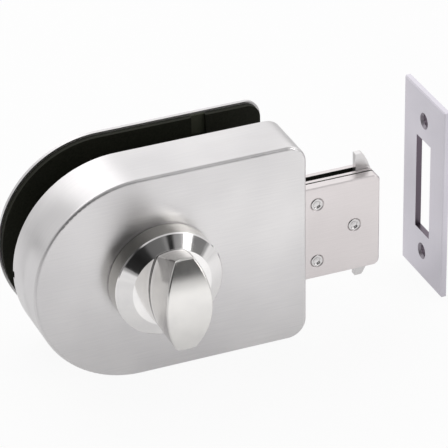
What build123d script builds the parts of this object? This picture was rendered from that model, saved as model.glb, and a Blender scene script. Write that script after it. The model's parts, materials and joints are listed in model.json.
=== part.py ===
from build123d import *
from math import acos, atan2, cos, degrees, hypot, pi, radians, sin, sqrt, tan
import os

# Glass door lock: a D-shaped case clamped on the edge of a glass door, a thumb-turn that
# drives a sliding bolt through a pinion and rack, and two hooks that swing out of the bolt.
# Origin: thumb-turn axis where it meets the front face of the glass. X points to the strike,
# Y to the back through the glass, Z up. Sizes are in millimetres, and every "at" value is a
# distance in front of the glass, along -Y. The lock is drawn with its bolt thrown.

# Housing
housing_height = 70.0
housing_length = 91.8
axis_to_edge = 49.6
cover_depth = 19.2
cover_sheet = 1.5
cover_corner = 6.2
face_round = 1.0
rear_sheet = 1.5
rear_inset = 0.8
rear_chamfer = 0.3
pry_notch_height = 2.4
pry_notch_depth = 1.2
pry_notch_middle = -0.3

# Glass clamp
glass_thickness = 12.0
gasket_thickness = 2.0
gasket_inset = 1.5
gasket_notch_middle = 26.8
gasket_notch_width = 5.0
gasket_notch_height = 6.6
gasket_notch_depth = 1.2
base_thickness = 3.0
boss_radius = 4.5
boss_setback = 1.0
clamp_screw_radius = 2.5
clamp_screw_head = 4.8
clamp_screw_length = 12.0
sleeve_wall = 1.4
left_boss_setback = 18.8
right_boss_inset = 19.6
right_boss_z = 15.5
clip_width = 6.0
clip_sheet = 0.5
clip_foot = 6.0
clip_leg = 6.5
clip_shifts = (4.2, 24.2)

# Clearances
seat_gap = 0.02
running_gap = 0.05
slide_gap = 0.2
free_gap = 0.3

# Rack and pinion
gear_module = 1.25
pinion_teeth = 14
pressure_angle = 20.0
half_turn = 180.0
hub_radius = 6.5
tooth_sink = 0.05
rack_start = -4.0
rack_bottom = 16.0
rack_rivet_radius = 1.2
rack_rivet_x = (4.0, 30.0)

# Sliding bolt
bolt_height = 33.0
bolt_reach = 26.94
bolt_tail = 11.6
bolt_corner = 2.0
bolt_behind_face = 3.2
front_plate_thickness = 3.6
middle_plate_thickness = 1.6
hook_thickness = 2.2
back_plate_thickness = 1.7
plate_chamfer = 0.35
strip_height = 6.0
bolt_screw_radius = 1.25
bolt_screw_head = 2.35

# Hooks
pivot_from_wall = 5.1
pivot_height = 10.35
nose_screw_from_wall = 18.1
hook_eye = 4.2
hook_back = 15.7
hook_tip = 12.0
hook_reach = 21.7
hook_belly = 1.2
hook_tip_round = 0.8
hook_fold = 24.0
follower_arm = 11.7
follower_radius = 1.2
tail_width = 4.6
spacer_radius = 2.0

# Inner case
guide_thickness = 3.5
case_left = -20.0
case_corner = 5.0
case_end_gap = 0.5
lid_thickness = 1.2
rail_height = 4.3
rail_start = 12.0
rail_screw_inset = 6.0
pillar_x = -14.0
case_screw_radius = 1.25
case_screw_head = 2.35
detent_x = 43.0
detent_z = 4.0
ball_radius = 1.5
detent_bore_share = 0.7
dimple_depth = 0.4
spring_radius = 1.1
spring_wire = 0.2
spring_pitch = 0.65

# Thumb-turn
knob_radius = 18.0
knob_rim = 6.5
knob_lift = 0.3
rim_chamfer = 0.35
ring_rise = 2.4
ring_inner = 13.2
blade_half_width = 7.7
blade_end_half_width = 2.9
blade_foot_radius = 13.0
blade_radius = 16.4
blade_end_height = 13.4
blade_height = 17.0
blade_round = 0.6
blade_corner = 0.9
neck_radius = 6.0
spindle_square = 7.0
spindle_socket = 5.5
journal_radius = 3.2
bush_wall = 1.8
front_flange = 9.5
rear_flange = 6.2
flange_thickness = 0.2
clip_ring_radius = 5.5
clip_ring_sheet = 0.7
clip_ring_width = 1.4
clip_ring_prong = 2.0
groove_radius = 2.6
ring_pocket_radius = 7.0
ring_pocket_depth = 1.5
grub_radius = 2.0
grub_length = 8.0

# Strike plate, set apart in front of the bolt
strike_x = 98.3
strike_y = -4.6
strike_height = 68.0
strike_width = 29.3
strike_thickness = 2.0
strike_chamfer = 0.4
slot_clearance = 0.5
strike_hole_radius = 2.0
strike_hole_head = 2.8
strike_hole_spacing = 48.4

# Distances in front of the glass
rim_at = gasket_thickness
face_at = rim_at + cover_depth
base_at = rim_at + base_thickness
guide_at = base_at + guide_thickness
bolt_front_at = face_at - bolt_behind_face
middle_front_at = bolt_front_at - front_plate_thickness
hook_front_at = middle_front_at - middle_plate_thickness
back_front_at = hook_front_at - hook_thickness - slide_gap
bolt_back_at = back_front_at - back_plate_thickness
lid_back_at = bolt_front_at + slide_gap
lid_at = lid_back_at + lid_thickness
rear_plate_at = -glass_thickness - gasket_thickness
knob_back_at = face_at + knob_lift
knob_rim_at = knob_back_at + knob_rim
neck_end_at = bolt_front_at
pinion_front_at = bolt_front_at - running_gap * 2
pinion_back_at = middle_front_at + running_gap * 2
hub_back_at = guide_at + flange_thickness + slide_gap
ring_pocket_at = rim_at + ring_pocket_depth
spindle_end_at = rim_at + slide_gap
ring_front_at = ring_pocket_at - slide_gap

# Places in the plane of the glass
arc_x = axis_to_edge - housing_length + housing_height / 2
inner_edge = axis_to_edge - cover_sheet
inner_wall = housing_height / 2 - cover_sheet
left_boss_x = arc_x - left_boss_setback
right_boss_x = axis_to_edge - right_boss_inset
sleeve_outer = boss_radius + slide_gap + sleeve_wall
clip_x = [arc_x + shift for shift in clip_shifts]
case_right = inner_edge - case_end_gap
bolt_end = axis_to_edge + bolt_reach
bolt_start = axis_to_edge - bolt_tail
pivot_x = axis_to_edge + pivot_from_wall
nose_screw_x = axis_to_edge + nose_screw_from_wall
rail_low = bolt_height / 2 + slide_gap
rail_middle = rail_low + rail_height / 2
case_half_height = rail_low + rail_height
pitch_radius = gear_module * pinion_teeth / 2
tooth_pitch = pi * gear_module
tooth_root = 1.25 * gear_module
bolt_travel = radians(half_turn) * pitch_radius
tail_turn = radians(180 + hook_fold / 2)
bush_outer = journal_radius + running_gap + bush_wall
front_bush_outer = neck_radius + running_gap + bush_wall
boss_points = [(left_boss_x, 0), (right_boss_x, right_boss_z), (right_boss_x, -right_boss_z)]
bolt_screw_points = [(pivot_x, pivot_height), (pivot_x, -pivot_height), (nose_screw_x, 0)]
case_screw_x = (pillar_x, rail_start + rail_screw_inset, case_right - rail_screw_inset)
case_screw_points = [(x, side * rail_middle) for x in case_screw_x for side in (1, -1)]
pillar_points = [(pillar_x, rail_middle), (pillar_x, -rail_middle)]
detent_bore_depth = detent_bore_share * base_thickness
rivet_points = [(x, -(rack_bottom + pitch_radius + tooth_root) / 2) for x in rack_rivet_x]


def front_plane(at):
    """Plane parallel to the glass and facing the front, at a distance in front of it."""
    return Plane.XZ.offset(at)


def spots(points, at):
    """Locations on a front plane, for holes and screws that run back from it."""
    return [front_plane(at).location * Location((x, z, 0)) for x, z in points]


def d_outline(inset=0.0):
    """Housing outline: half round on the left, square with small corners on the right."""
    half = housing_height / 2 - inset
    right = axis_to_edge - inset
    with BuildSketch() as outline:
        with Locations((arc_x, 0)):
            Circle(half)
        with Locations(((arc_x + right) / 2, 0)):
            Rectangle(right - arc_x, 2 * half)
        fillet(outline.vertices().group_by(Axis.X)[-1], cover_corner - inset)
    return outline.sketch


def gasket_outline():
    """Rubber pad for one side of the glass, open around the sleeves."""
    with BuildSketch() as outline:
        add(d_outline(gasket_inset))
        with Locations(*boss_points):
            Circle(sleeve_outer + free_gap, mode=Mode.SUBTRACT)
    return outline.sketch


def gasket_notch():
    """Outline of the recess in a gasket's upper edge."""
    with BuildSketch() as outline:
        with Locations((gasket_notch_middle, housing_height / 2 - gasket_inset)):
            Rectangle(gasket_notch_width, 2 * gasket_notch_height)
    return outline.sketch


def case_outline():
    """Inner case: square towards the window, rounded on the left."""
    with BuildSketch() as outline:
        with Locations(((case_left + case_right) / 2, 0)):
            Rectangle(case_right - case_left, 2 * case_half_height)
        fillet(outline.vertices().group_by(Axis.X)[0], case_corner)
    return outline.sketch


def bolt_outline():
    """Bolt plate with its two outer corners rounded."""
    with BuildSketch() as outline:
        with Locations(((bolt_start + bolt_end) / 2, 0)):
            Rectangle(bolt_end - bolt_start, bolt_height)
        fillet(outline.vertices().group_by(Axis.X)[-1], bolt_corner)
    return outline.sketch


def follower_path(side):
    """Ends of a follower pin's way: bolt thrown first, then drawn in with the hook folded."""
    x = pivot_x + follower_arm * cos(tail_turn)
    rise = follower_arm * sin(tail_turn)
    thrown = (x, side * (pivot_height + rise))
    folded = (x - bolt_travel, side * (pivot_height - rise))
    return thrown, folded


def cam_slots():
    """Two inclined slots that lead the follower pins and fold the hooks."""
    width = 2 * (follower_radius + free_gap)
    with BuildSketch() as slots:
        for side in (1, -1):
            (x_out, z_out), (x_in, z_in) = follower_path(side)
            with Locations(((x_out + x_in) / 2, (z_out + z_in) / 2)):
                SlotCenterToCenter(hypot(x_out - x_in, z_out - z_in), width,
                                   rotation=degrees(atan2(z_out - z_in, x_out - x_in)))
    return slots.sketch


def pinion_outline():
    """Involute pinion with one tooth pointing down at the rack."""
    base_radius = pitch_radius * cos(radians(pressure_angle))
    outer_radius = pitch_radius + gear_module
    root_radius = pitch_radius - tooth_root
    half_tooth = (tooth_pitch / 2 - free_gap) / (2 * pitch_radius)
    pitch_involute = tan(radians(pressure_angle)) - radians(pressure_angle)

    def flank(radius, side):
        angle = acos(base_radius / radius)
        turn = side * (half_tooth + pitch_involute - tan(angle) + angle)
        return radius * sin(turn), -radius * cos(turn)

    steps = 4
    radii = [base_radius + (outer_radius - base_radius) * step / steps for step in range(steps + 1)]
    right = [flank(radius, 1) for radius in radii]
    left = [flank(radius, -1) for radius in radii]
    sink = root_radius / base_radius - tooth_sink
    inner_left = (left[0][0] * sink, left[0][1] * sink)
    inner_right = (right[0][0] * sink, right[0][1] * sink)
    with BuildSketch() as tooth:
        with BuildLine():
            Spline(*right)
            ThreePointArc(right[-1], (0, -outer_radius), left[-1])
            Spline(*left)
            Polyline(left[0], inner_left, inner_right, right[0])
        make_face()
    with BuildSketch() as outline:
        Circle(root_radius)
        with PolarLocations(0, pinion_teeth):
            add(tooth.sketch)
    return outline.sketch


def rack_outline():
    """Rack under the pinion, with a tooth space straight below the pinion's axis."""
    slope = tan(radians(pressure_angle))
    root = -(pitch_radius + tooth_root)
    tip = -(pitch_radius - gear_module)
    half_tip = tooth_pitch / 4 - free_gap / 2 - gear_module * slope
    half_root = half_tip + (tip - root) * slope
    right = bolt_start - slide_gap
    count = int((right - rack_start) / tooth_pitch)
    first = tooth_pitch / 2 * (1 - 2 * int(-rack_start / tooth_pitch))
    with BuildSketch() as outline:
        with Locations(((rack_start + right) / 2, (root - rack_bottom) / 2)):
            Rectangle(right - rack_start, root + rack_bottom)
        for index in range(count):
            x = first + index * tooth_pitch
            Polygon((x - half_root, root), (x + half_root, root), (x + half_tip, tip),
                    (x - half_tip, tip), align=None)
    return outline.sketch


def hook_outline(side):
    """Hook in its swung-out pose, drawn about its pivot: side is 1 above and -1 below."""
    tip_x = sqrt(hook_reach ** 2 - hook_tip ** 2)
    belly_x = sqrt(hook_reach ** 2 - hook_belly ** 2)
    middle = (hook_tip - hook_belly) / 2
    middle_x = sqrt(hook_reach ** 2 - middle ** 2)
    follower = (follower_arm * cos(tail_turn), follower_arm * sin(tail_turn))
    with BuildSketch() as outline:
        with BuildLine():
            Polyline((0, hook_eye), (hook_back, hook_eye), (hook_back, hook_tip), (tip_x, hook_tip))
            ThreePointArc((tip_x, hook_tip), (middle_x, middle), (belly_x, -hook_belly))
            Polyline((belly_x, -hook_belly), (0, -hook_belly), (0, hook_eye))
        make_face()
        fillet(outline.vertices().group_by(Axis.Y)[-1].sort_by(Axis.X)[-1], hook_tip_round)
        Circle(hook_eye)
        with Locations((follower[0] / 2, follower[1] / 2)):
            SlotCenterToCenter(follower_arm, tail_width, rotation=hook_fold / 2)
        with Locations(follower):
            Circle(follower_radius + seat_gap, mode=Mode.SUBTRACT)
        Circle(spacer_radius + running_gap, mode=Mode.SUBTRACT)
    if side > 0:
        return outline.sketch
    return mirror(outline.sketch, about=Plane.XZ, mode=Mode.PRIVATE)


def countersunk_screws(points, at, radius, head, length):
    """Countersunk screws with hexagon sockets, heads flush with a front plane."""
    with BuildPart() as screws:
        with Locations(*spots(points, at)):
            Cylinder(radius, length, align=(Align.CENTER, Align.CENTER, Align.MAX))
            Cone(radius, head, head - radius, align=(Align.CENTER, Align.CENTER, Align.MAX))
        with BuildSketch(front_plane(at)):
            with Locations(*points):
                RegularPolygon(head / 2, 6)
        extrude(amount=-(head - radius), mode=Mode.SUBTRACT)
    return screws.part


os.makedirs("parts", exist_ok=True)

# Front cover: a pressed and brushed cap with a hole for the bush, a window for the bolt in
# its straight end and a small notch in its rim for prying it off
with BuildPart() as front_cover:
    with BuildSketch(front_plane(rim_at)):
        add(d_outline())
    extrude(amount=cover_depth)
    fillet(front_cover.faces().sort_by(Axis.Y)[0].outer_wire().edges(), face_round)
    with BuildSketch(front_plane(rim_at)):
        add(d_outline(cover_sheet))
    extrude(amount=cover_depth - cover_sheet, mode=Mode.SUBTRACT)
    with BuildSketch(front_plane(face_at)):
        Circle(front_bush_outer + seat_gap)
    extrude(amount=-2 * cover_sheet, mode=Mode.SUBTRACT)
    with BuildSketch(Plane.YZ.offset(axis_to_edge)):
        with Locations((-(bolt_front_at + bolt_back_at) / 2, 0)):
            Rectangle(bolt_front_at - bolt_back_at + 4 * slide_gap, bolt_height + 4 * slide_gap)
    extrude(amount=-2 * cover_sheet, mode=Mode.SUBTRACT)
    with BuildSketch(front_plane(rim_at)):
        with Locations((arc_x - housing_height / 2, pry_notch_middle)):
            Rectangle(4 * cover_sheet, pry_notch_height)
    extrude(amount=pry_notch_depth, mode=Mode.SUBTRACT)
front_cover.part.label = "front_cover"
export_step(front_cover.part, "parts/front_cover.step")

# Front gasket: rubber between the base plate and the glass, recessed on its glass side
with BuildPart() as front_gasket:
    with BuildSketch(front_plane(0)):
        add(gasket_outline())
    extrude(amount=gasket_thickness)
    with BuildSketch(front_plane(0)):
        add(gasket_notch())
    extrude(amount=gasket_notch_depth, mode=Mode.SUBTRACT)
front_gasket.part.label = "front_gasket"
export_step(front_gasket.part, "parts/front_gasket.step")

# Rear gasket: the same moulding on the other side of the glass
with BuildPart() as rear_gasket:
    with BuildSketch(front_plane(rear_plate_at)):
        add(gasket_outline())
    extrude(amount=gasket_thickness)
    with BuildSketch(front_plane(-glass_thickness)):
        add(gasket_notch())
    extrude(amount=-gasket_notch_depth, mode=Mode.SUBTRACT)
rear_gasket.part.label = "rear_gasket"
export_step(rear_gasket.part, "parts/rear_gasket.step")

# Rear plate: the plain stainless plate behind the glass
with BuildPart() as rear_plate:
    with BuildSketch(front_plane(rear_plate_at - rear_sheet)):
        add(d_outline(rear_inset))
    extrude(amount=rear_sheet)
    chamfer(rear_plate.faces().sort_by(Axis.Y)[-1].edges(), rear_chamfer)
rear_plate.part.label = "rear_plate"
export_step(rear_plate.part, "parts/rear_plate.step")

# Clamp bosses: threaded tubes welded on the rear plate, reaching through the glass
with BuildPart() as clamp_bosses:
    with BuildSketch(front_plane(rear_plate_at)):
        with Locations(*boss_points):
            Circle(boss_radius)
            Circle(clamp_screw_radius + seat_gap, mode=Mode.SUBTRACT)
    extrude(amount=rim_at - boss_setback - rear_plate_at)
clamp_bosses.part.label = "clamp_bosses"
export_step(clamp_bosses.part, "parts/clamp_bosses.step")

# Glass sleeves: nylon tubes over the bosses that keep them off the edges of the glass holes
with BuildPart() as glass_sleeves:
    with BuildSketch(front_plane(rear_plate_at)):
        with Locations(*boss_points):
            Circle(sleeve_outer)
            Circle(boss_radius + slide_gap, mode=Mode.SUBTRACT)
    extrude(amount=rim_at - boss_setback - rear_plate_at)
glass_sleeves.part.label = "glass_sleeves"
export_step(glass_sleeves.part, "parts/glass_sleeves.step")

# Clamp screws: draw the base plate towards the rear plate
with BuildPart() as clamp_screws:
    add(countersunk_screws(boss_points, base_at, clamp_screw_radius, clamp_screw_head,
                           clamp_screw_length))
clamp_screws.part.label = "clamp_screws"
export_step(clamp_screws.part, "parts/clamp_screws.step")

# Base plate: steel plate on the front gasket, carrying the case and the cover
with BuildPart() as base_plate:
    with BuildSketch(front_plane(rim_at)):
        add(d_outline(cover_sheet + slide_gap))
        Circle(bush_outer + seat_gap, mode=Mode.SUBTRACT)
        with Locations(*case_screw_points):
            Circle(case_screw_radius + seat_gap, mode=Mode.SUBTRACT)
    extrude(amount=base_thickness)
    with Locations(*spots(boss_points, base_at)):
        CounterSinkHole(clamp_screw_radius + slide_gap, clamp_screw_head + seat_gap,
                        counter_sink_angle=90)
    with BuildSketch(front_plane(rim_at)):
        Circle(ring_pocket_radius)
    extrude(amount=ring_pocket_depth, mode=Mode.SUBTRACT)
    with Locations(*spots([(detent_x, detent_z)], base_at)):
        Cylinder(ball_radius + running_gap, detent_bore_depth, mode=Mode.SUBTRACT,
                 align=(Align.CENTER, Align.CENTER, Align.MAX))
base_plate.part.label = "base_plate"
export_step(base_plate.part, "parts/base_plate.step")

# Cover clips: bent spring strips on the base plate that grip the cover's long walls
with BuildPart() as cover_clips:
    for middle in clip_x:
        with BuildSketch(Plane.YZ.offset(middle - clip_width / 2)):
            for side in (1, -1):
                outer = side * inner_wall
                inner = side * (inner_wall - clip_sheet)
                toe = side * (inner_wall - clip_foot)
                top = -base_at - clip_leg
                shelf = -base_at - clip_sheet
                Polygon((-base_at, toe), (-base_at, outer), (top, outer), (top, inner),
                        (shelf, inner), (shelf, toe), align=None)
        extrude(amount=clip_width)
cover_clips.part.label = "cover_clips"
export_step(cover_clips.part, "parts/cover_clips.step")

# Guide plate: floor of the case, with an inclined cam slot for each follower pin
with BuildPart() as guide_plate:
    with BuildSketch(front_plane(base_at)):
        add(case_outline())
        add(cam_slots(), mode=Mode.SUBTRACT)
        Circle(bush_outer + seat_gap, mode=Mode.SUBTRACT)
        with Locations(*case_screw_points):
            Circle(case_screw_radius + seat_gap, mode=Mode.SUBTRACT)
        with Locations((detent_x, detent_z)):
            Circle(ball_radius + running_gap, mode=Mode.SUBTRACT)
    extrude(amount=guide_thickness)
guide_plate.part.label = "guide_plate"
export_step(guide_plate.part, "parts/guide_plate.step")

# Guide rails: steel bars that lead the bolt along its upper and lower edges
with BuildPart() as upper_guide_rail:
    with BuildSketch(front_plane(guide_at)):
        with Locations(((rail_start + case_right) / 2, rail_middle)):
            Rectangle(case_right - rail_start, rail_height)
        with Locations(*case_screw_points[2:]):
            Circle(case_screw_radius + seat_gap, mode=Mode.SUBTRACT)
    extrude(amount=lid_back_at - guide_at)
upper_guide_rail.part.label = "upper_guide_rail"
export_step(upper_guide_rail.part, "parts/upper_guide_rail.step")

with BuildPart() as lower_guide_rail:
    with BuildSketch(front_plane(guide_at)):
        with Locations(((rail_start + case_right) / 2, -rail_middle)):
            Rectangle(case_right - rail_start, rail_height)
        with Locations(*case_screw_points[2:]):
            Circle(case_screw_radius + seat_gap, mode=Mode.SUBTRACT)
    extrude(amount=lid_back_at - guide_at)
lower_guide_rail.part.label = "lower_guide_rail"
export_step(lower_guide_rail.part, "parts/lower_guide_rail.step")

# Case pillars: round spacers under the left end of the lid
with BuildPart() as case_pillars:
    with BuildSketch(front_plane(guide_at)):
        with Locations(*pillar_points):
            Circle(rail_height / 2)
            Circle(case_screw_radius + seat_gap, mode=Mode.SUBTRACT)
    extrude(amount=lid_back_at - guide_at)
case_pillars.part.label = "case_pillars"
export_step(case_pillars.part, "parts/case_pillars.step")

# Case lid: thin sheet that closes the case over the bolt
with BuildPart() as case_lid:
    with BuildSketch(front_plane(lid_back_at)):
        add(case_outline())
        Circle(neck_radius + free_gap, mode=Mode.SUBTRACT)
    extrude(amount=lid_thickness)
    with Locations(*spots(case_screw_points, lid_at)):
        CounterSinkHole(case_screw_radius + seat_gap, case_screw_head + seat_gap,
                        counter_sink_angle=90)
case_lid.part.label = "case_lid"
export_step(case_lid.part, "parts/case_lid.step")

# Case screws: hold lid, rails, pillars and guide plate on the base plate
with BuildPart() as case_screws:
    add(countersunk_screws(case_screw_points, lid_at, case_screw_radius, case_screw_head,
                           lid_at - rim_at - boss_setback))
case_screws.part.label = "case_screws"
export_step(case_screws.part, "parts/case_screws.step")

# Front bush: flanged nylon bush in the cover, under the thumb-turn
with BuildPart() as front_bush:
    with BuildSketch(front_plane(lid_at + running_gap)):
        Circle(front_bush_outer)
    extrude(amount=face_at - lid_at - running_gap)
    with BuildSketch(front_plane(face_at)):
        Circle(front_flange)
    extrude(amount=flange_thickness)
    with BuildSketch(front_plane(lid_at)):
        Circle(neck_radius + running_gap)
    extrude(amount=knob_back_at - lid_at, mode=Mode.SUBTRACT)
front_bush.part.label = "front_bush"
export_step(front_bush.part, "parts/front_bush.step")

# Rear bush: flanged nylon bush in the guide plate for the spindle's journal
with BuildPart() as rear_bush:
    with BuildSketch(front_plane(ring_pocket_at)):
        Circle(bush_outer)
    extrude(amount=guide_at - ring_pocket_at)
    with BuildSketch(front_plane(guide_at)):
        Circle(rear_flange)
    extrude(amount=flange_thickness)
    with BuildSketch(front_plane(ring_pocket_at)):
        Circle(journal_radius + running_gap)
    extrude(amount=hub_back_at - ring_pocket_at, mode=Mode.SUBTRACT)
rear_bush.part.label = "rear_bush"
export_step(rear_bush.part, "parts/rear_bush.step")

# Detent: a ball on a spring that catches a dimple in the bolt at either end of its travel
ball_at = guide_at - ball_radius
with BuildPart() as detent_ball:
    with Locations(*spots([(detent_x, detent_z)], ball_at)):
        Sphere(ball_radius)
detent_ball.part.label = "detent_ball"
export_step(detent_ball.part, "parts/detent_ball.step")

spring_end_at = base_at - detent_bore_depth + spring_wire
spring_height = ball_at - ball_radius - spring_wire - spring_end_at
with BuildPart() as detent_spring:
    with BuildLine() as coil:
        Helix(spring_pitch, spring_height, spring_radius,
              center=(detent_x, -spring_end_at, detent_z), direction=(0, -1, 0))
    with BuildSketch(Plane(origin=coil.line @ 0, z_dir=coil.line % 0)):
        Circle(spring_wire)
    sweep(is_frenet=True)
detent_spring.part.label = "detent_spring"
export_step(detent_spring.part, "parts/detent_spring.step")

# Bolt front plate: the thick plate that shows in front, with all its outer edges bevelled
with BuildPart() as bolt_front_plate:
    with BuildSketch(front_plane(middle_front_at)):
        add(bolt_outline())
    extrude(amount=front_plate_thickness)
    faces = bolt_front_plate.faces().sort_by(Axis.Y)
    chamfer(faces[0].edges() + faces[-1].edges(), plate_chamfer)
    with Locations(*spots(bolt_screw_points, bolt_front_at)):
        CounterSinkHole(bolt_screw_radius + seat_gap, bolt_screw_head + seat_gap,
                        counter_sink_angle=90)
bolt_front_plate.part.label = "bolt_front_plate"
export_step(bolt_front_plate.part, "parts/bolt_front_plate.step")

# Bolt middle plate: runs on to the left as the strip that carries the rack
with BuildPart() as bolt_middle_plate:
    with BuildSketch(front_plane(hook_front_at)):
        add(bolt_outline())
        with Locations(((rack_start + bolt_start) / 2, (strip_height - bolt_height) / 2)):
            Rectangle(bolt_start - rack_start, strip_height)
        with Locations(*bolt_screw_points):
            Circle(bolt_screw_radius + seat_gap, mode=Mode.SUBTRACT)
        with Locations(*rivet_points):
            Circle(rack_rivet_radius + seat_gap, mode=Mode.SUBTRACT)
    extrude(amount=middle_plate_thickness)
bolt_middle_plate.part.label = "bolt_middle_plate"
export_step(bolt_middle_plate.part, "parts/bolt_middle_plate.step")

# Bolt rack: toothed bar riveted on the strip
with BuildPart() as bolt_rack:
    with BuildSketch(front_plane(middle_front_at)):
        add(rack_outline())
        with Locations(*rivet_points):
            Circle(rack_rivet_radius + seat_gap, mode=Mode.SUBTRACT)
    extrude(amount=front_plate_thickness)
bolt_rack.part.label = "bolt_rack"
export_step(bolt_rack.part, "parts/bolt_rack.step")

# Rack rivets
with BuildPart() as rack_rivets:
    with BuildSketch(front_plane(hook_front_at)):
        with Locations(*rivet_points):
            Circle(rack_rivet_radius)
    extrude(amount=bolt_front_at - hook_front_at)
rack_rivets.part.label = "rack_rivets"
export_step(rack_rivets.part, "parts/rack_rivets.step")

# Bolt back plate: slotted on an arc for each follower pin and dimpled for the detent ball
arc_start = 180 - hook_fold / 2
slot_arcs = [CenterArc((pivot_x, side * pivot_height), follower_arm, arc_start, hook_fold)
             for side in (1, -1)]
dimples = [(detent_x, detent_z), (detent_x + bolt_travel, detent_z)]
with BuildPart() as bolt_back_plate:
    with BuildSketch(front_plane(bolt_back_at)):
        add(bolt_outline())
        for slot_arc in slot_arcs:
            SlotArc(slot_arc, 2 * (follower_radius + free_gap), mode=Mode.SUBTRACT)
        with Locations(*bolt_screw_points):
            Circle(bolt_screw_radius + seat_gap, mode=Mode.SUBTRACT)
    extrude(amount=back_plate_thickness)
    with Locations(*spots(dimples, bolt_back_at + dimple_depth - ball_radius)):
        Sphere(ball_radius, mode=Mode.SUBTRACT)
bolt_back_plate.part.label = "bolt_back_plate"
export_step(bolt_back_plate.part, "parts/bolt_back_plate.step")

# Spacer bushes: keep the hook channel open, and the two inner ones are the hooks' pivots
with BuildPart() as spacer_bushes:
    with BuildSketch(front_plane(back_front_at)):
        with Locations(*bolt_screw_points):
            Circle(spacer_radius)
            Circle(bolt_screw_radius + seat_gap, mode=Mode.SUBTRACT)
    extrude(amount=hook_front_at - back_front_at)
spacer_bushes.part.label = "spacer_bushes"
export_step(spacer_bushes.part, "parts/spacer_bushes.step")

# Bolt screws: hold the three bolt plates together
with BuildPart() as bolt_screws:
    add(countersunk_screws(bolt_screw_points, bolt_front_at, bolt_screw_radius,
                           bolt_screw_head, bolt_front_at - bolt_back_at - slide_gap))
bolt_screws.part.label = "bolt_screws"
export_step(bolt_screws.part, "parts/bolt_screws.step")

# Hooks: swing out of the bolt's upper and lower edges behind the strike
hook_back_at = back_front_at + slide_gap / 2
with BuildPart() as upper_hook:
    with BuildSketch(front_plane(hook_back_at)):
        with Locations((pivot_x, pivot_height)):
            add(hook_outline(1))
    extrude(amount=hook_thickness)
upper_hook.part.label = "upper_hook"
export_step(upper_hook.part, "parts/upper_hook.step")

with BuildPart() as lower_hook:
    with BuildSketch(front_plane(hook_back_at)):
        with Locations((pivot_x, -pivot_height)):
            add(hook_outline(-1))
    extrude(amount=hook_thickness)
lower_hook.part.label = "lower_hook"
export_step(lower_hook.part, "parts/lower_hook.step")

# Follower pins: run in the cam slots of the guide plate
follower_end_at = base_at + free_gap
with BuildPart() as upper_follower_pin:
    with BuildSketch(front_plane(follower_end_at)):
        with Locations(follower_path(1)[0]):
            Circle(follower_radius)
    extrude(amount=hook_back_at + hook_thickness - follower_end_at)
upper_follower_pin.part.label = "upper_follower_pin"
export_step(upper_follower_pin.part, "parts/upper_follower_pin.step")

with BuildPart() as lower_follower_pin:
    with BuildSketch(front_plane(follower_end_at)):
        with Locations(follower_path(-1)[0]):
            Circle(follower_radius)
    extrude(amount=hook_back_at + hook_thickness - follower_end_at)
lower_follower_pin.part.label = "lower_follower_pin"
export_step(lower_follower_pin.part, "parts/lower_follower_pin.step")

# Blade of the thumb-turn: two bowed flanks, ends that flare to the front and a crowned front
bulge = blade_half_width - blade_end_half_width
bow_radius = (blade_radius ** 2 + bulge ** 2) / (2 * bulge)
flare = (blade_radius - blade_foot_radius) / blade_end_height
blade_reach = blade_foot_radius + flare * blade_height
crown_end = -knob_rim_at - blade_end_height
crown_top = -knob_rim_at - blade_height
with BuildPart() as blade:
    with BuildSketch(front_plane(knob_rim_at)):
        with Locations((blade_half_width - bow_radius, 0)):
            Circle(bow_radius)
        with Locations((bow_radius - blade_half_width, 0)):
            Circle(bow_radius, mode=Mode.INTERSECT)
    extrude(amount=blade_height)
    with BuildSketch(Plane.XY):
        Polygon((0, -knob_rim_at), (blade_foot_radius, -knob_rim_at), (blade_reach, crown_top),
                (0, crown_top), align=None)
    revolve(axis=Axis.Y, mode=Mode.INTERSECT)
    uprights = blade.edges().filter_by(lambda edge: edge.bounding_box().size.Y > blade_end_height)
    fillet(uprights.group_by(lambda edge: abs(edge.center().Z))[-1], blade_corner)
    with BuildSketch(Plane.YZ):
        with BuildLine():
            ThreePointArc((crown_end, -blade_radius), (crown_top, 0), (crown_end, blade_radius))
            Polyline((crown_end, blade_radius), (-knob_rim_at, blade_radius),
                     (-knob_rim_at, -blade_radius), (crown_end, -blade_radius))
        make_face()
    extrude(amount=blade_radius, both=True, mode=Mode.INTERSECT)
    fillet(blade.faces().sort_by(Axis.Y)[0].edges(), blade_round)

# Thumb-turn: a turned foot ring with the blade standing on it and a neck into the case
rim_edge = knob_radius - rim_chamfer
floor_at = knob_rim_at + ring_rise
grub_at = (knob_back_at + knob_back_at + spindle_socket) / 2
with BuildPart() as thumb_turn:
    with BuildSketch(Plane.XY):
        with BuildLine():
            Polyline((0, -neck_end_at), (neck_radius, -neck_end_at), (neck_radius, -knob_back_at),
                     (rim_edge, -knob_back_at), (knob_radius, -knob_back_at - rim_chamfer),
                     (knob_radius, -knob_rim_at + rim_chamfer), (rim_edge, -knob_rim_at),
                     (ring_inner, -floor_at), (0, -floor_at), (0, -neck_end_at))
        make_face()
    revolve(axis=Axis.Y)
    add(blade.part)
    with BuildSketch(front_plane(neck_end_at)):
        Rectangle(spindle_square + 2 * seat_gap, spindle_square + 2 * seat_gap)
    extrude(amount=knob_back_at + spindle_socket - neck_end_at, mode=Mode.SUBTRACT)
    with Locations(Plane(origin=(0, -grub_at, -knob_radius), z_dir=(0, 0, -1))):
        Cylinder(grub_radius + seat_gap, knob_radius - spindle_square / 2, mode=Mode.SUBTRACT,
                 align=(Align.CENTER, Align.CENTER, Align.MAX))
thumb_turn.part.label = "thumb_turn"
export_step(thumb_turn.part, "parts/thumb_turn.step")

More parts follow.
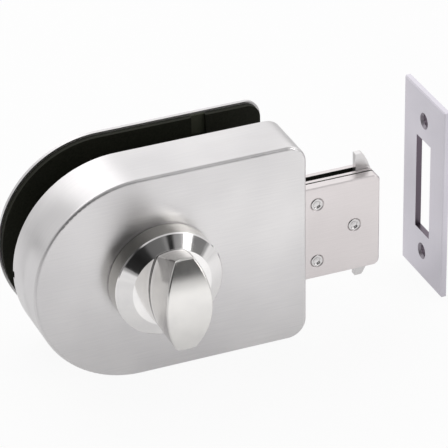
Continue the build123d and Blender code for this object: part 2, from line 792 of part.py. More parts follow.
# Grub screw: locks the thumb-turn on the spindle's flat from below
with BuildPart() as knob_grub_screw:
    with Locations(Plane(origin=(0, -grub_at, -spindle_square / 2), z_dir=(0, 0, -1))):
        Cylinder(grub_radius, grub_length, align=(Align.CENTER, Align.CENTER, Align.MIN))
    socket_plane = Plane(origin=(0, -grub_at, -spindle_square / 2 - grub_length), z_dir=(0, 0, -1))
    with BuildSketch(socket_plane):
        RegularPolygon(grub_radius / 2, 6)
    extrude(amount=-grub_radius, mode=Mode.SUBTRACT)
knob_grub_screw.part.label = "knob_grub_screw"
export_step(knob_grub_screw.part, "parts/knob_grub_screw.step")

# Spindle: square bar with a turned journal and a groove for the retaining ring
with BuildPart() as spindle:
    with BuildSketch(front_plane(hub_back_at)):
        Rectangle(spindle_square, spindle_square)
    extrude(amount=knob_back_at + spindle_socket - seat_gap - hub_back_at)
    with BuildSketch(front_plane(spindle_end_at)):
        Circle(journal_radius)
    extrude(amount=hub_back_at - spindle_end_at)
    with BuildSketch(front_plane(ring_front_at - clip_ring_sheet - running_gap)):
        Circle(journal_radius)
        Circle(groove_radius, mode=Mode.SUBTRACT)
    extrude(amount=clip_ring_sheet + 2 * running_gap, mode=Mode.SUBTRACT)
spindle.part.label = "spindle"
export_step(spindle.part, "parts/spindle.step")

# Retaining ring: open ring with three prongs, snapped into the spindle's groove
with BuildPart() as retaining_ring:
    with BuildSketch(front_plane(ring_front_at - clip_ring_sheet)):
        Circle(clip_ring_radius)
        Circle(clip_ring_radius - clip_ring_width, mode=Mode.SUBTRACT)
        with PolarLocations((groove_radius + clip_ring_radius) / 2, 3, start_angle=90):
            Rectangle(clip_ring_radius - groove_radius - slide_gap, clip_ring_prong)
        Circle(groove_radius + seat_gap, mode=Mode.SUBTRACT)
        with Locations((0, -clip_ring_radius)):
            Rectangle(2 * clip_ring_prong, clip_ring_radius, mode=Mode.SUBTRACT)
    extrude(amount=clip_ring_sheet)
retaining_ring.part.label = "retaining_ring"
export_step(retaining_ring.part, "parts/retaining_ring.step")

# Pinion: fourteen involute teeth on a hub with a square bore
with BuildPart() as pinion:
    with BuildSketch(front_plane(pinion_back_at)):
        add(pinion_outline())
    extrude(amount=pinion_front_at - pinion_back_at)
    with BuildSketch(front_plane(hub_back_at)):
        Circle(hub_radius)
    extrude(amount=pinion_back_at - hub_back_at)
    with BuildSketch(front_plane(hub_back_at)):
        Rectangle(spindle_square + 2 * seat_gap, spindle_square + 2 * seat_gap)
    extrude(amount=pinion_front_at - hub_back_at, mode=Mode.SUBTRACT)
pinion.part.label = "pinion"
export_step(pinion.part, "parts/pinion.step")

# Strike plate: slotted for the bolt and its hooks, with two countersunk fixing holes
strike_plane = Plane(origin=(strike_x, strike_y, 0), x_dir=(0, -1, 0), z_dir=(-1, 0, 0))
with BuildPart() as strike_plate:
    with BuildSketch(strike_plane):
        Rectangle(strike_width, strike_height)
    extrude(amount=-strike_thickness)
    chamfer(strike_plate.faces().sort_by(Axis.X)[0].edges(), strike_chamfer)
    with BuildSketch(strike_plane):
        Rectangle(bolt_front_at - bolt_back_at + 2 * slot_clearance,
                  bolt_height + 2 * slot_clearance)
    extrude(amount=-strike_thickness, mode=Mode.SUBTRACT)
    with Locations(strike_plane):
        with Locations((0, strike_hole_spacing / 2), (0, -strike_hole_spacing / 2)):
            CounterSinkHole(strike_hole_radius, strike_hole_head, counter_sink_angle=90)
strike_plate.part.label = "strike_plate"
export_step(strike_plate.part, "parts/strike_plate.step")
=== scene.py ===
import json
import math

import bpy
from mathutils import Matrix, Vector


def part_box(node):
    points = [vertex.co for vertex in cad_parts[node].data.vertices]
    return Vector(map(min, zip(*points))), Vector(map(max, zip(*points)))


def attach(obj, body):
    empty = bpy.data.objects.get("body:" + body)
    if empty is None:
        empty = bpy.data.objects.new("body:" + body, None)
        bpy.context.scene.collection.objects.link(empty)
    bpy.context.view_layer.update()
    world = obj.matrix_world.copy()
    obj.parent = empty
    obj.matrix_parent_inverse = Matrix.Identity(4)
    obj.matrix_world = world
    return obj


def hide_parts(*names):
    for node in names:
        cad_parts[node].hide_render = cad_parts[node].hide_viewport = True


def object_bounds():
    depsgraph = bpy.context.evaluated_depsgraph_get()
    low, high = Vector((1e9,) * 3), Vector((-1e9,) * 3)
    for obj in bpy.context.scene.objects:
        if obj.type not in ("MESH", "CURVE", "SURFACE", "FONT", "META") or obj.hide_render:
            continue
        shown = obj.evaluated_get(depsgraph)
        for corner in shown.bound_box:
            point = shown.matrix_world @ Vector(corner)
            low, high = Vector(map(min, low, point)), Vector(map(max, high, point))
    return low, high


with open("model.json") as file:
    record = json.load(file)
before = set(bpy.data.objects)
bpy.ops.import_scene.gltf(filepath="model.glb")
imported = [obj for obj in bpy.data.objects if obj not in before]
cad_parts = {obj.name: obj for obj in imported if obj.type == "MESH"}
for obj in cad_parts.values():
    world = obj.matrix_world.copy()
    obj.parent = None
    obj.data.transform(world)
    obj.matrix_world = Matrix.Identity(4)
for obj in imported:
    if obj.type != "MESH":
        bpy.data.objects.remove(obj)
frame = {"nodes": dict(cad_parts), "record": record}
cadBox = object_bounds()
nodes = frame["nodes"]
mm = 0.001
noiseLow, noiseHigh = 0.3, 0.7      # nearly all values of a noise texture lie between these


def toLinear(hexColour):
    channels = [int(hexColour[i:i + 2], 16) / 255 for i in (1, 3, 5)]
    linear = [c / 12.92 if c <= 0.04045 else ((c + 0.055) / 1.055) ** 2.4 for c in channels]
    return (*linear, 1.0)


def addNode(tree, kind, values=None, links=None, stops=(), **settings):
    # stops are for a node with a ramp: (position, grey level or colour), in order
    node = tree.nodes.new(kind)
    for name, value in settings.items():
        setattr(node, name, value)
    for socket, value in (values or {}).items():
        node.inputs[socket].default_value = value
    for socket, source in (links or {}).items():
        tree.links.new(source, node.inputs[socket])
    if stops:
        elements = node.color_ramp.elements
        while len(elements) < len(stops):
            elements.new(0.5)
        for element, (position, value) in zip(elements, stops):
            element.position = position
            element.color = value if isinstance(value, tuple) else (value, value, value, 1)
    return node


def newMaterial(name):
    material = bpy.data.materials.new(name)
    material.use_nodes = True
    tree = material.node_tree
    tree.nodes.clear()
    shader = addNode(tree, "ShaderNodeBsdfPrincipled")
    addNode(tree, "ShaderNodeOutputMaterial", links={"Surface": shader.outputs["BSDF"]})
    return material, tree, shader


# Brushed finishes: stainless steel sheet, in the cover's own tone first

satinSteel = {
    "dark": "#d1cfd0",
    "light": "#e2e0e0",
    "streaking": 0.6,        # how much further a highlight spreads across the grain
    "roughLow": 0.30,
    "roughHigh": 0.40,
    "grainWidth": 0.45,      # mm, coarser than the real grit so that it shows
    "grainLength": 14.0,     # mm
    "grainDepth": 0.004,     # mm
    "grainDetail": 3.0,
    "grainRoughness": 0.6,
    "grainBump": 0.35,
    "grainShare": 0.5,       # of the grain in the tone, beside the clouds
    "cloudSize": 30.0,       # mm, slow change of tone over the sheet
    "cloudDetail": 2.0,
    "toneFrom": 0.5,         # where the dark tone ends and the light one is reached
    "toneTo": 1.0,
    "hollowShadeTone": "#ffffff",    # painted shade: multiplies the tone of the inner faces of hollows, where shade falls
    "cutMiddle": 0.0,        # mm in Y, middle of the strip where those faces lie
    "cutHalfWidth": 1.0,     # mm
    "cutHalfHeight": 1.0,    # mm
    "cutSteep": 0.95,        # a face turned this much towards X isn't toned
    "cutLevel": 0.6,         # and one turned no more than this is toned fully
    "seamAt": 0.0,           # mm in Y, a joint between two plates, in the same tone
    "seamHalf": 0.0,         # mm
}


def makeBrushedSheet(name, look):
    # Stainless sheet brushed with an abrasive belt: streaks run along X on faces parallel to the
    # glass and round the edge on the walls, and spread each highlight across them
    material, tree, shader = newMaterial(name)
    coords = addNode(tree, "ShaderNodeTexCoord")
    across = 1 / (look["grainWidth"] * mm)
    along = 1 / (look["grainLength"] * mm)
    faceMap = addNode(tree, "ShaderNodeMapping", {"Scale": (along, across, across)},
                      {"Vector": coords.outputs["Object"]})
    wallMap = addNode(tree, "ShaderNodeMapping", {"Scale": (along, across, along)},
                      {"Vector": coords.outputs["Object"]})
    texture = {"Scale": 1.0, "Detail": look["grainDetail"], "Roughness": look["grainRoughness"]}
    faceGrain = addNode(tree, "ShaderNodeTexNoise", texture, {"Vector": faceMap.outputs["Vector"]})
    wallGrain = addNode(tree, "ShaderNodeTexNoise", texture, {"Vector": wallMap.outputs["Vector"]})
    normal = addNode(tree, "ShaderNodeNewGeometry")
    split = addNode(tree, "ShaderNodeSeparateXYZ", links={"Vector": normal.outputs["True Normal"]})
    facing = addNode(tree, "ShaderNodeMath", links={0: split.outputs["Y"]}, operation="ABSOLUTE")
    grain = addNode(tree, "ShaderNodeMix", data_type="FLOAT",
                    links={"Factor": facing.outputs[0], 2: wallGrain.outputs["Fac"],
                           3: faceGrain.outputs["Fac"]})
    clouds = addNode(tree, "ShaderNodeTexNoise",
                     {"Scale": 1 / (look["cloudSize"] * mm), "Detail": look["cloudDetail"]},
                     {"Vector": coords.outputs["Object"]})
    blend = addNode(tree, "ShaderNodeMath", {1: look["grainShare"]},
                    {0: grain.outputs[0], 2: clouds.outputs["Fac"]}, operation="MULTIPLY_ADD")
    tone = addNode(tree, "ShaderNodeValToRGB", links={"Fac": blend.outputs[0]},
                   stops=[(look["toneFrom"], toLinear(look["dark"])),
                          (look["toneTo"], toLinear(look["light"]))])
    rough = addNode(tree, "ShaderNodeMapRange",
                    {"From Min": noiseLow, "From Max": noiseHigh,
                     "To Min": look["roughLow"], "To Max": look["roughHigh"]},
                    {"Value": grain.outputs[0]})
    bump = addNode(tree, "ShaderNodeBump",
                   {"Strength": look["grainBump"], "Distance": look["grainDepth"] * mm},
                   {"Height": grain.outputs[0]})
    place = addNode(tree, "ShaderNodeSeparateXYZ", links={"Vector": coords.outputs["Object"]})
    # painted shade: inner faces in a strip across Y, within a height and not turned towards X, are
    # darkened in the tone of the hollows
    nearCut = addNode(tree, "ShaderNodeMath",
                      {1: look["cutMiddle"] * mm, 2: look["cutHalfWidth"] * mm},
                      {0: place.outputs["Y"]}, operation="COMPARE")
    inHeight = addNode(tree, "ShaderNodeMath", {1: 0.0, 2: look["cutHalfHeight"] * mm},
                       {0: place.outputs["Z"]}, operation="COMPARE")
    nearSeam = addNode(tree, "ShaderNodeMath", {1: look["seamAt"] * mm, 2: look["seamHalf"] * mm},
                       {0: place.outputs["Y"]}, operation="COMPARE")
    inDepth = addNode(tree, "ShaderNodeMath", links={0: nearCut.outputs[0], 1: nearSeam.outputs[0]},
                      operation="MAXIMUM")
    inside = addNode(tree, "ShaderNodeMath", links={0: inDepth.outputs[0], 1: inHeight.outputs[0]},
                     operation="MULTIPLY")
    sideways = addNode(tree, "ShaderNodeMath", links={0: split.outputs["X"]}, operation="ABSOLUTE")
    edge = addNode(tree, "ShaderNodeMapRange",
                   {"From Min": look["cutSteep"], "From Max": look["cutLevel"]},
                   {"Value": sideways.outputs[0]})
    paintedShadeMask = addNode(tree, "ShaderNodeMath", links={0: inside.outputs[0], 1: edge.outputs["Result"]},
                    operation="MULTIPLY")
    shaded = addNode(tree, "ShaderNodeMix", {7: toLinear(look["hollowShadeTone"])},
                     {"Factor": paintedShadeMask.outputs[0], 6: tone.outputs["Color"]},
                     data_type="RGBA", blend_type="MULTIPLY")
    tree.links.new(shaded.outputs[2], shader.inputs["Base Color"])
    tree.links.new(rough.outputs["Result"], shader.inputs["Roughness"])
    tree.links.new(bump.outputs["Normal"], shader.inputs["Normal"])
    shader.inputs["Metallic"].default_value = 1.0
    shader.inputs["Anisotropic"].default_value = look["streaking"]
    tangent = addNode(tree, "ShaderNodeTangent", direction_type="RADIAL", axis="X")
    tree.links.new(tangent.outputs["Tangent"], shader.inputs["Tangent"])
    return material


# Polished finishes: the thumb-turn and the bolt's screws

polishedSteel = {
    "dark": "#e4e2e2",
    "light": "#eeeceb",
    "roughLow": 0.05,
    "roughHigh": 0.09,
    "ringSpacing": 2.2,      # mm between the marks of the wheel, coarser than real so that they show
    "ringDepth": 0.0006,     # mm
    "ringWaver": 1.5,
    "ringDetail": 2.0,
    "ringBump": 0.25,
    "smearSize": 9.0,        # mm
    "smearDetail": 4.0,
    "smearRoughness": 0.55,
    "satinRough": 0.0,       # added where the surface is brushed
    "satinTone": "#ffffff",  # multiplies the tone there
    "satinFrom": 0.0,        # mm in front of the glass, where the brushing begins
    "satinTo": 1.0,          # mm in front of the glass, where it is complete
    "satinWidth": 0.3,       # mm, coarser than a real brush mark so that it shows
    "satinStretch": 12,      # length of a brush mark in widths
    "satinDetail": 2.0,
    "satinDepth": 0.0,       # mm
    "satinBump": 0.3,
    "creviceTone": "#ffffff",    # painted shade: multiplies the tone in a thin line
    "creviceAt": 0.0,        # mm in front of the glass
    "creviceHalf": 0.35,     # mm
    "rimTone": "#ffffff",    # painted shade: multiplies the tone of the turned rim, darker all round
    "rimAt": 0.0,            # mm in front of the glass
    "rimHalf": 2.9,          # mm
}


def makePolishedTurning(name, look):
    # Stainless steel turned and then polished: near mirror, with faint rings round the axis and
    # slow smears that break the reflections a little. The blade is brushed after the polishing
    material, tree, shader = newMaterial(name)
    coords = addNode(tree, "ShaderNodeTexCoord")
    waveFactor = 20          # a wave texture multiplies its coordinates by this
    rings = addNode(tree, "ShaderNodeTexWave",
                    {"Scale": 2 * math.pi / (waveFactor * look["ringSpacing"] * mm),
                     "Distortion": look["ringWaver"], "Detail": look["ringDetail"]},
                    {"Vector": coords.outputs["Object"]},
                    wave_type="RINGS", rings_direction="Y")
    smears = addNode(tree, "ShaderNodeTexNoise",
                     {"Scale": 1 / (look["smearSize"] * mm), "Detail": look["smearDetail"],
                      "Roughness": look["smearRoughness"]},
                     {"Vector": coords.outputs["Object"]})
    tone = addNode(tree, "ShaderNodeValToRGB", links={"Fac": smears.outputs["Fac"]},
                   stops=[(noiseLow, toLinear(look["dark"])), (noiseHigh, toLinear(look["light"]))])
    rough = addNode(tree, "ShaderNodeMapRange",
                    {"From Min": noiseLow, "From Max": noiseHigh,
                     "To Min": look["roughLow"], "To Max": look["roughHigh"]},
                    {"Value": smears.outputs["Fac"]})
    split = addNode(tree, "ShaderNodeSeparateXYZ", links={"Vector": coords.outputs["Object"]})
    satin = addNode(tree, "ShaderNodeMapRange",
                    {"From Min": -look["satinFrom"] * mm, "From Max": -look["satinTo"] * mm},
                    {"Value": split.outputs["Y"]})
    rougher = addNode(tree, "ShaderNodeMath", {1: look["satinRough"]},
                      {0: satin.outputs["Result"], 2: rough.outputs["Result"]},
                      operation="MULTIPLY_ADD")
    bump = addNode(tree, "ShaderNodeBump",
                   {"Strength": look["ringBump"], "Distance": look["ringDepth"] * mm},
                   {"Height": rings.outputs["Fac"]})
    along = 1 / (look["satinStretch"] * look["satinWidth"] * mm)
    across = 1 / (look["satinWidth"] * mm)
    brushMap = addNode(tree, "ShaderNodeMapping", {"Scale": (along, along, across)},
                       {"Vector": coords.outputs["Object"]})
    brushing = addNode(tree, "ShaderNodeTexNoise", {"Scale": 1.0, "Detail": look["satinDetail"]},
                       {"Vector": brushMap.outputs["Vector"]})
    brushed = addNode(tree, "ShaderNodeMath",
                      links={0: brushing.outputs["Fac"], 1: satin.outputs["Result"]},
                      operation="MULTIPLY")
    brushBump = addNode(tree, "ShaderNodeBump",
                        {"Strength": look["satinBump"], "Distance": look["satinDepth"] * mm},
                        {"Height": brushed.outputs[0], "Normal": bump.outputs["Normal"]})
    # painted shade: a thin dark line across Y, at the blade's foot
    crevice = addNode(tree, "ShaderNodeMath",
                      {1: -look["creviceAt"] * mm, 2: look["creviceHalf"] * mm},
                      {0: split.outputs["Y"]}, operation="COMPARE")
    satinShade = addNode(tree, "ShaderNodeMix", {7: toLinear(look["satinTone"])},
                         {"Factor": satin.outputs["Result"], 6: tone.outputs["Color"]},
                         data_type="RGBA", blend_type="MULTIPLY")
    shaded = addNode(tree, "ShaderNodeMix", {7: toLinear(look["creviceTone"])},
                     {"Factor": crevice.outputs[0], 6: satinShade.outputs[2]},
                     data_type="RGBA", blend_type="MULTIPLY")
    # painted shade: the rim darker all round
    rim = addNode(tree, "ShaderNodeMath", {1: -look["rimAt"] * mm, 2: look["rimHalf"] * mm},
                  {0: split.outputs["Y"]}, operation="COMPARE")
    rimShaded = addNode(tree, "ShaderNodeMix", {7: toLinear(look["rimTone"])},
                     {"Factor": rim.outputs[0], 6: shaded.outputs[2]},
                     data_type="RGBA", blend_type="MULTIPLY")
    tree.links.new(rimShaded.outputs[2], shader.inputs["Base Color"])
    tree.links.new(rougher.outputs[0], shader.inputs["Roughness"])
    tree.links.new(brushBump.outputs["Normal"], shader.inputs["Normal"])
    shader.inputs["Metallic"].default_value = 1.0
    return material


# places on the thumb-turn are counted back from its front, in mm
knobFront = -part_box("thumb_turn")[0][1] / mm
knobSteel = dict(
    polishedSteel,
    roughLow=0.07, roughHigh=0.11,
    satinRough=0.10, satinTone="#efefed", satinDepth=0.010,
    satinFrom=knobFront - 14.4, satinTo=knobFront - 12.0,      # the blade
    creviceTone="#3c3c38", creviceAt=knobFront - 14.2,         # shade at the blade's foot
    rimTone="#dcdcd7", rimAt=knobFront - 20.3,                 # painted shade on the rim, centred on its middle
)
screwBright = dict(polishedSteel, dark="#c4c2c2", light="#d6d4d4", roughLow=0.14, roughHigh=0.22)


# Evenly grained finishes: rubber, nylon, and the steel of small and hidden pieces

evenGrain = {
    "metallic": 0.0,
    "specular": 0.5,
    "grainDetail": 4.0,
    "grainRoughness": 0.6,
    "grainBump": 0.4,
    "toneFrom": 0.35,        # where the dark tone ends and the light one is reached
    "toneTo": 0.65,
}
# grain size and depth are in mm, the grain coarser than the real one so that it shows
gasketRubber = dict(
    evenGrain, dark="#1a1b13", light="#292a21", roughLow=0.62, roughHigh=0.80, specular=0.2,
    grainSize=0.7, grainDepth=0.02,
    recessTone="#46483c",
    recessAt=26.8,           # mm in X
    recessHalf=2.5,          # mm
    recessHeight=6.6,        # mm down from the gasket's top
)
naturalNylon = dict(evenGrain, dark="#c9c5b8", light="#dedacd", roughLow=0.40, roughHigh=0.52,
                    grainSize=1.5, grainDepth=0.004)
zincPlated = dict(evenGrain, dark="#8d8e90", light="#b2b3b5", roughLow=0.30, roughHigh=0.45,
                  metallic=1.0, grainSize=0.9, grainDepth=0.004)
hardenedSteel = dict(evenGrain, dark="#77777a", light="#97979a", roughLow=0.20, roughHigh=0.30,
                     metallic=1.0, grainSize=1.2, grainDepth=0.002)
blackOxide = dict(evenGrain, dark="#1d1d1f", light="#343436", roughLow=0.35, roughHigh=0.50,
                  metallic=0.6, grainSize=0.8, grainDepth=0.003)


def makeGrained(name, look):
    # An even fine grain, as a moulding, a plating bath or a tumbler leaves it
    material, tree, shader = newMaterial(name)
    coords = addNode(tree, "ShaderNodeTexCoord")
    grain = addNode(tree, "ShaderNodeTexNoise",
                    {"Scale": 1 / (look["grainSize"] * mm), "Detail": look["grainDetail"],
                     "Roughness": look["grainRoughness"]},
                    {"Vector": coords.outputs["Object"]})
    tone = addNode(tree, "ShaderNodeValToRGB", links={"Fac": grain.outputs["Fac"]},
                   stops=[(look["toneFrom"], toLinear(look["dark"])),
                          (look["toneTo"], toLinear(look["light"]))])
    rough = addNode(tree, "ShaderNodeMapRange",
                    {"From Min": noiseLow, "From Max": noiseHigh,
                     "To Min": look["roughLow"], "To Max": look["roughHigh"]},
                    {"Value": grain.outputs["Fac"]})
    bump = addNode(tree, "ShaderNodeBump",
                   {"Strength": look["grainBump"], "Distance": look["grainDepth"] * mm},
                   {"Height": grain.outputs["Fac"]})
    tree.links.new(tone.outputs["Color"], shader.inputs["Base Color"])
    tree.links.new(rough.outputs["Result"], shader.inputs["Roughness"])
    tree.links.new(bump.outputs["Normal"], shader.inputs["Normal"])
    shader.inputs["Metallic"].default_value = look["metallic"]
    shader.inputs["Specular IOR Level"].default_value = look["specular"]
    return material


def makeGasketRubber(name, look):
    # The same grain, paler in the recess at the top
    material = makeGrained(name, look)
    tree = material.node_tree
    shader = next(node for node in tree.nodes if node.type == "BSDF_PRINCIPLED")
    tone = shader.inputs["Base Color"].links[0].from_socket
    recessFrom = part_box("rear_gasket")[1][2] - look["recessHeight"] * mm
    coords = addNode(tree, "ShaderNodeTexCoord")
    split = addNode(tree, "ShaderNodeSeparateXYZ", links={"Vector": coords.outputs["Object"]})
    inWidth = addNode(tree, "ShaderNodeMath",
                      {1: look["recessAt"] * mm, 2: look["recessHalf"] * mm},
                      {0: split.outputs["X"]}, operation="COMPARE")
    inHeight = addNode(tree, "ShaderNodeMath", {1: recessFrom}, {0: split.outputs["Z"]},
                       operation="GREATER_THAN")
    inRecess = addNode(tree, "ShaderNodeMath", links={0: inWidth.outputs[0], 1: inHeight.outputs[0]},
                       operation="MULTIPLY")
    paler = addNode(tree, "ShaderNodeMix", {7: toLinear(look["recessTone"])},
                    {"Factor": inRecess.outputs[0], 6: tone}, data_type="RGBA")
    tree.links.new(paler.outputs[2], shader.inputs["Base Color"])
    return material


# Brushed finishes of the bolt, the strike and the hooks

strikeMiddle = sum(corner[1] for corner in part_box("strike_plate")) / 2 / mm
hookLow, hookHigh = (corner[1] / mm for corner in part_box("upper_hook"))
pocketMargin = 0.15          # mm that the pocket's shade reaches past the hooks on each side
boltSatin = dict(
    satinSteel, dark="#d5cfcf", light="#e2dcdc", grainWidth=0.35, grainLength=8.0,
    hollowShadeTone="#4c504a",       # painted shade in the pocket round the hooks
    cutMiddle=(hookLow + hookHigh) / 2, cutHalfWidth=(hookHigh - hookLow) / 2 + pocketMargin,
    cutHalfHeight=20.0,
    seamAt=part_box("bolt_front_plate")[1][1] / mm, seamHalf=0.28,
)
strikeSatin = dict(
    satinSteel, dark="#c9c6ce", light="#d7d3db", grainWidth=0.4, grainLength=10.0, streaking=0.0,
    hollowShadeTone="#857c83",       # painted shade on the walls of the slot and the holes
    cutMiddle=strikeMiddle, cutHalfWidth=8.0, cutHalfHeight=30.0,
)
hookSatin = dict(satinSteel, dark="#cfcdcd", light="#dedcdc", grainWidth=0.4, grainLength=3.0,
                 streaking=0.0)

finishes = {
    "cover_steel": makeBrushedSheet("brushedStainless", satinSteel),
    "gasket_rubber": makeGasketRubber("mouldedRubber", gasketRubber),
    "boss_steel": makeGrained("turnedStainless", hardenedSteel),
    "nylon": makeGrained("naturalNylon", naturalNylon),
    "dark_screw": makeGrained("blackOxideSteel", blackOxide),
    "plated_steel": makeGrained("zincPlatedSteel", zincPlated),
    "spring_steel": makeGrained("hardenedSteel", hardenedSteel),
    "bolt_steel": makeBrushedSheet("fineSatinStainless", boltSatin),
    "screw_steel": makePolishedTurning("brightScrewSteel", screwBright),
    "hook_steel": makeBrushedSheet("castStainless", hookSatin),
    "polished_steel": makePolishedTurning("polishedStainless", knobSteel),
    "strike_steel": makeBrushedSheet("satinStrikeSteel", strikeSatin),
}

for part in frame["record"]["subparts"]:
    mesh = nodes[part["node"]].data
    mesh.materials.clear()
    mesh.materials.append(finishes[part["material_slot"]])
print("finishes are on the lock")


# Bolt screws: countersunk heads with a rim and a hexagon socket; radii and depths in mm

screwHead = {
    "radius": 2.35,          # of the countersink
    "shank": 1.25,
    "shankChamfer": 0.2,
    "rim": 2.0,
    "chamfer": 0.12,
    "sunk": 0.02,            # the flat lies this far under the plate's face
    "land": 1.38,            # inner edge of the flat
    "socket": 1.12,          # to the corners
    "lip": 0.03,             # widening at the mouth of the socket
    "lipTop": 0.15,
    "lipFoot": 0.2,
    "socketDepth": 0.5,
    "drillTip": 0.05,
    "drillDepth": 0.62,
    "sides": 48,
}


def screwRings(look, length):
    # (radius, depth under the plate's face, 1 where the ring is a hexagon), from the shank's end round
    # to the bottom of the socket
    shank, rim, socket = look["shank"], look["rim"], look["socket"]
    return [(shank - look["shankChamfer"], length, 0), (shank, length - look["shankChamfer"], 0),
            (shank, look["radius"] - shank, 0), (rim, look["radius"] - rim, 0),
            (rim, look["chamfer"], 0), (rim - look["chamfer"], look["sunk"], 0),
            (look["land"], look["sunk"], 0), (socket + look["lip"], look["lipTop"], 0),
            (socket, look["lipFoot"], 1), (socket, look["socketDepth"], 1),
            (look["drillTip"], look["drillDepth"], 0)]


def makeBoltScrews(look):
    low, high = (Vector(corner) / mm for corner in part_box("bolt_screws"))
    reach = look["radius"]
    places = [(low.x + reach, high.z - reach), (low.x + reach, low.z + reach), (high.x - reach, 0)]
    rings = screwRings(look, high.y - low.y)
    sides = look["sides"]
    points, faces = [], []
    for centreX, centreZ in places:
        first = len(points)
        for radius, depth, hexagon in rings:
            for i in range(sides):
                angle = 2 * math.pi * i / sides
                offFlat = (angle + math.pi / 6) % (math.pi / 3) - math.pi / 6
                flat = math.cos(math.pi / 6) / math.cos(offFlat)
                spoke = radius * (flat if hexagon else 1)
                points.append((centreX + spoke * math.cos(angle), low.y + depth,
                               centreZ + spoke * math.sin(angle)))
        for ring in range(len(rings) - 1):
            a, b = first + ring * sides, first + (ring + 1) * sides
            for i in range(sides):
                j = (i + 1) % sides
                faces.append((a + i, b + i, b + j, a + j))
        faces.append(tuple(first + i for i in range(sides)))
        last = first + (len(rings) - 1) * sides
        faces.append(tuple(last + i for i in reversed(range(sides))))
    mesh = bpy.data.meshes.new("boltScrewHeads")
    mesh.from_pydata([Vector(point) * mm for point in points], [], faces)
    mesh.materials.append(finishes["screw_steel"])
    screws = bpy.data.objects.new("boltScrewHeads", mesh)
    bpy.context.scene.collection.objects.link(screws)
    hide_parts("bolt_screws")
    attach(screws, "bolt")


makeBoltScrews(screwHead)
print("bolt screws are in")


# Camera, fitted to the photograph: directions in degrees, distance, aim, lens and sensor in mm

cameraFit = {
    "azimuth": -22.42,
    "elevation": 30.14,
    "roll": -0.77,
    "distance": 1124.07,
    "aim": (31.64, 3.70, -2.73),
    "lens": 281.25,
    "sensor": 36.0,
}


def makeCamera(fit):
    azimuth, elevation, roll = (math.radians(fit[key]) for key in ("azimuth", "elevation", "roll"))
    back = Vector((math.sin(azimuth) * math.cos(elevation), -math.cos(azimuth) * math.cos(elevation),
                   math.sin(elevation)))
    level = Vector((math.cos(azimuth), math.sin(azimuth), 0))
    upright = back.cross(level)
    right = math.cos(roll) * level + math.sin(roll) * upright
    up = back.cross(right)
    data = bpy.data.cameras.new("photoCamera")
    data.sensor_width = fit["sensor"]
    data.lens = fit["lens"]
    camera = bpy.data.objects.new("photoCamera", data)
    bpy.context.scene.collection.objects.link(camera)
    place = Vector(fit["aim"]) * mm + back * fit["distance"] * mm
    camera.matrix_world = Matrix.Translation(place) @ Matrix((right, up, back)).transposed().to_4x4()
    bpy.context.scene.camera = camera


makeCamera(cameraFit)
print("camera is placed")


# Floor: pale paper under the lock, with a pool of light in front of it that only reflections show

floorLook = {
    "colour": "#f4f4f4",
    "halfSize": 4.0,         # m
    "gap": 0.2,              # mm under the lock's lowest point
    "cameraGlow": 0.92,      # share of plain white that the camera sees, the rest keeps the shadow
    "mirrorGlow": 0.60,      # share of the pool's grey that reflections see
    "poolCentre": (60.0, -160.0),    # mm
    "poolReach": 800.0,      # mm
    # grey by distance from the pool's centre, in shares of its reach
    "pool": [(0.0, 1.6), (0.06, 1.54), (0.12, 1.29), (0.155, 1.02), (0.18, 0.87),
             (0.2, 0.87), (0.212, 1.0), (0.24, 1.0), (0.27, 0.93), (0.36, 1.0), (0.5, 1.1),
             (0.7, 0.8), (1.0, 0.2)],
}


def makeFloor(look):
    low = cadBox[0][2] - look["gap"] * mm
    size = look["halfSize"]
    corners = [(-size, -size, low), (size, -size, low), (size, size, low), (-size, size, low)]
    mesh = bpy.data.meshes.new("floor")
    mesh.from_pydata(corners, [], [(0, 1, 2, 3)])
    floor = bpy.data.objects.new("floor", mesh)
    bpy.context.scene.collection.objects.link(floor)
    material = bpy.data.materials.new("palePaperSweep")
    material.use_nodes = True
    tree = material.node_tree
    tree.nodes.clear()
    paper = addNode(tree, "ShaderNodeBsdfDiffuse", {"Color": toLinear(look["colour"])})
    glow = addNode(tree, "ShaderNodeEmission", {"Color": (1, 1, 1, 1), "Strength": 1.0})
    coords = addNode(tree, "ShaderNodeTexCoord")
    centred = addNode(tree, "ShaderNodeVectorMath",
                      {1: (look["poolCentre"][0] * mm, look["poolCentre"][1] * mm, low)},
                      {0: coords.outputs["Object"]}, operation="DISTANCE")
    outward = addNode(tree, "ShaderNodeMath", {1: look["poolReach"] * mm},
                      {0: centred.outputs["Value"]}, operation="DIVIDE")
    pool = addNode(tree, "ShaderNodeValToRGB", links={"Fac": outward.outputs[0]}, stops=look["pool"])
    poolGlow = addNode(tree, "ShaderNodeEmission", {"Strength": 1.0}, {"Color": pool.outputs["Color"]})
    path = addNode(tree, "ShaderNodeLightPath")
    mirrored = addNode(tree, "ShaderNodeMath", operation="ADD", use_clamp=True,
                       links={0: path.outputs["Is Glossy Ray"], 1: path.outputs["Is Transmission Ray"]})
    mirrorShare = addNode(tree, "ShaderNodeMath", {1: look["mirrorGlow"]}, {0: mirrored.outputs[0]},
                          operation="MULTIPLY")
    cameraShare = addNode(tree, "ShaderNodeMath", {1: look["cameraGlow"]},
                          {0: path.outputs["Is Camera Ray"]}, operation="MULTIPLY")
    mirror = addNode(tree, "ShaderNodeMixShader",
                     links={0: mirrorShare.outputs[0], 1: paper.outputs[0], 2: poolGlow.outputs[0]})
    mix = addNode(tree, "ShaderNodeMixShader",
                  links={0: cameraShare.outputs[0], 1: mirror.outputs[0], 2: glow.outputs[0]})
    addNode(tree, "ShaderNodeOutputMaterial", links={"Surface": mix.outputs[0]})
    mesh.materials.append(material)


makeFloor(floorLook)
print("floor is laid")


# Studio light: a pale surround, a band above the horizon that is dark in front and has one bright
# strip at the right, and a soft panel above

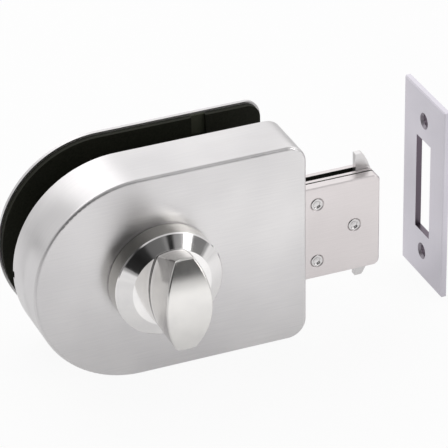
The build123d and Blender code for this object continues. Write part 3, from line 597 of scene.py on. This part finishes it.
surround = {
    "strength": 1.0,
    # grey by height, from straight down to straight up
    "heights": [(0.0, 0.85), (0.5, 0.85), (0.52, 1.05), (0.66, 1.5), (0.8, 1.65), (0.88, 0.75),
                (1.0, 0.35)],
    # grey by direction, from behind over the left, the front and the right
    "band": [(0.0, 0.8), (0.05, 0.85), (0.08, 0.87), (0.11, 0.86), (0.14, 0.8), (0.2, 0.7),
             (0.34, 0.3), (0.38, 0.05), (0.45, 0.015), (0.475, 0.03), (0.485, 0.14), (0.53, 0.16),
             (0.545, 0.3), (0.55, 0.02), (0.565, 0.02), (0.572, 0.3), (0.603, 0.3), (0.607, 8.0),
             (0.617, 8.0), (0.623, 0.2), (0.665, 0.24), (0.69, 0.8), (0.8, 0.85), (0.92, 0.75),
             (0.95, 0.7), (1.0, 0.8)],
    # the band ends higher in front than behind and on the left than on the right, and softly
    "bandTop": 0.572,
    "bandSoftness": 0.08,
    "bandLift": 0.14,
    "bandLean": 0.16,
}
topPanel = {
    "name": "topPanel",
    "place": (-0.15, 0.45, 0.75),    # m
    "aim": (0, 0, 0),
    "size": (0.7, 0.5),      # m
    "power": 1.5,            # W
}


def makeSurround(look):
    world = bpy.data.worlds.new("studioSurround")
    bpy.context.scene.world = world
    world.use_nodes = True
    tree = world.node_tree
    tree.nodes.clear()
    coords = addNode(tree, "ShaderNodeTexCoord")
    split = addNode(tree, "ShaderNodeSeparateXYZ", links={"Vector": coords.outputs["Generated"]})
    height = addNode(tree, "ShaderNodeMapRange", {"From Min": -1.0, "From Max": 1.0},
                     {"Value": split.outputs["Z"]})
    sky = addNode(tree, "ShaderNodeValToRGB", links={"Fac": height.outputs["Result"]},
                  stops=look["heights"])
    forward = addNode(tree, "ShaderNodeMath", {1: -1.0}, {0: split.outputs["Y"]}, operation="MULTIPLY")
    turn = addNode(tree, "ShaderNodeMath", links={0: split.outputs["X"], 1: forward.outputs[0]},
                   operation="ARCTAN2")
    direction = addNode(tree, "ShaderNodeMapRange", {"From Min": -math.pi, "From Max": math.pi},
                        {"Value": turn.outputs[0]})
    band = addNode(tree, "ShaderNodeValToRGB", links={"Fac": direction.outputs["Result"]},
                   stops=look["band"])
    leaned = addNode(tree, "ShaderNodeMath", {1: look["bandLean"]},
                     {0: split.outputs["X"], 2: split.outputs["Z"]}, operation="MULTIPLY_ADD")
    lowered = addNode(tree, "ShaderNodeMath", {1: -look["bandLift"]},
                      {0: forward.outputs[0], 2: leaned.outputs[0]}, operation="MULTIPLY_ADD")
    bandShare = addNode(tree, "ShaderNodeMapRange",
                        {"From Min": look["bandTop"] + look["bandSoftness"],
                         "From Max": look["bandTop"] - look["bandSoftness"]},
                        {"Value": lowered.outputs[0]}, interpolation_type="SMOOTHSTEP")
    grey = addNode(tree, "ShaderNodeMix", data_type="RGBA",
                   links={"Factor": bandShare.outputs["Result"], 6: sky.outputs["Color"],
                          7: band.outputs["Color"]})
    studio = addNode(tree, "ShaderNodeBackground", {"Strength": look["strength"]},
                     {"Color": grey.outputs[2]})
    white = addNode(tree, "ShaderNodeBackground", {"Color": (1, 1, 1, 1), "Strength": 1.0})
    path = addNode(tree, "ShaderNodeLightPath")
    mix = addNode(tree, "ShaderNodeMixShader",
                  links={0: path.outputs["Is Camera Ray"], 1: studio.outputs[0], 2: white.outputs[0]})
    addNode(tree, "ShaderNodeOutputWorld", links={"Surface": mix.outputs[0]})


def makeTopPanel(look):
    data = bpy.data.lights.new(look["name"], "AREA")
    data.shape = "RECTANGLE"
    data.size, data.size_y = look["size"]
    data.energy = look["power"]
    lamp = bpy.data.objects.new(look["name"], data)
    bpy.context.scene.collection.objects.link(lamp)
    place = Vector(look["place"])
    lamp.location = place
    lamp.rotation_euler = (Vector(look["aim"]) - place).to_track_quat("-Z", "Y").to_euler()


makeSurround(surround)
makeTopPanel(topPanel)
print("studio is lit")

bpy.context.scene.view_settings.view_transform = "Standard"
